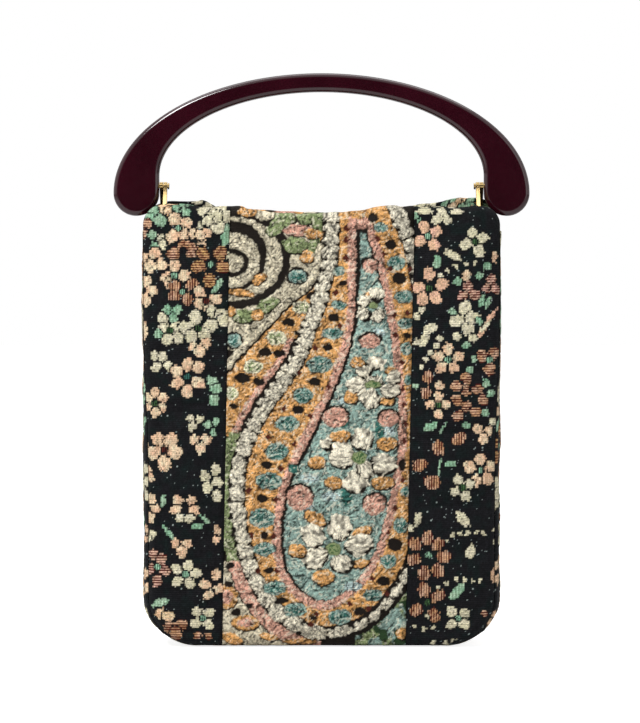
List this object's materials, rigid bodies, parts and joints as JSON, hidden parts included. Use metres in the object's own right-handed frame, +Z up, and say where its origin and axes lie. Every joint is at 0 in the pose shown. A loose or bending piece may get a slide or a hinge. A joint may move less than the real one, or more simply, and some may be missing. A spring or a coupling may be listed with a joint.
{
  "type": "top-handle handbag",
  "caption": "Upright open-top cloth handbag of floral and paisley jacquard, with a rigid arched handle that swings on gold straps.",
  "frame": {"origin": "middle of the base, on the surface that the bag stands on", "axes": "+X to the right as the front is seen, +Y from the front to the back, +Z up"},
  "size_m": [0.2694, 0.0632, 0.37],
  "materials": {
    "floral_cloth": "woven, ribbed",
    "paisley_cloth": "embossed weave",
    "lining_cloth": "smooth weave",
    "cream_thread": "woven",
    "peach_thread": "woven",
    "striped_thread": "woven",
    "green_thread": "woven",
    "teal_thread": "woven",
    "orange_thread": "woven",
    "pink_thread": "woven",
    "dark_thread": "woven",
    "handle_resin": "polished",
    "gold_fittings": "polished"
  },
  "bodies": {
    "bag": {"back_cream_print": "cream_thread", "back_dark_print": "dark_thread", "back_green_print": "green_thread", "back_left_floral_panel": "floral_cloth", "back_orange_print": "orange_thread", "back_paisley_panel": "paisley_cloth", "back_peach_print": "peach_thread", "back_pink_print": "pink_thread", "back_right_floral_panel": "floral_cloth", "back_striped_print": "striped_thread", "back_teal_print": "teal_thread", "front_cream_print": "cream_thread", "front_dark_print": "dark_thread", "front_green_print": "green_thread", "front_left_floral_panel": "floral_cloth", "front_orange_print": "orange_thread", "front_paisley_panel": "paisley_cloth", "front_peach_print": "peach_thread", "front_pink_print": "pink_thread", "front_right_floral_panel": "floral_cloth", "front_striped_print": "striped_thread", "front_teal_print": "teal_thread", "gusset_band": "floral_cloth", "gusset_flowers": "peach_thread", "gusset_leaves": "green_thread", "left_back_strap": "gold_fittings", "left_front_strap": "gold_fittings", "lining": "lining_cloth", "right_back_strap": "gold_fittings", "right_front_strap": "gold_fittings", "strap_rivets": "gold_fittings"},
    "handle": {"handle": "handle_resin", "left_hinge_pin": "gold_fittings", "right_hinge_pin": "gold_fittings"}
  },
  "joints": [
    {"name": "handle_swing", "type": "hinge", "parent": "bag", "child": "handle", "pos_m": [0, 0, 0.297], "axis": [1, 0, 0], "range_deg": [-92, 92]}
  ]
}
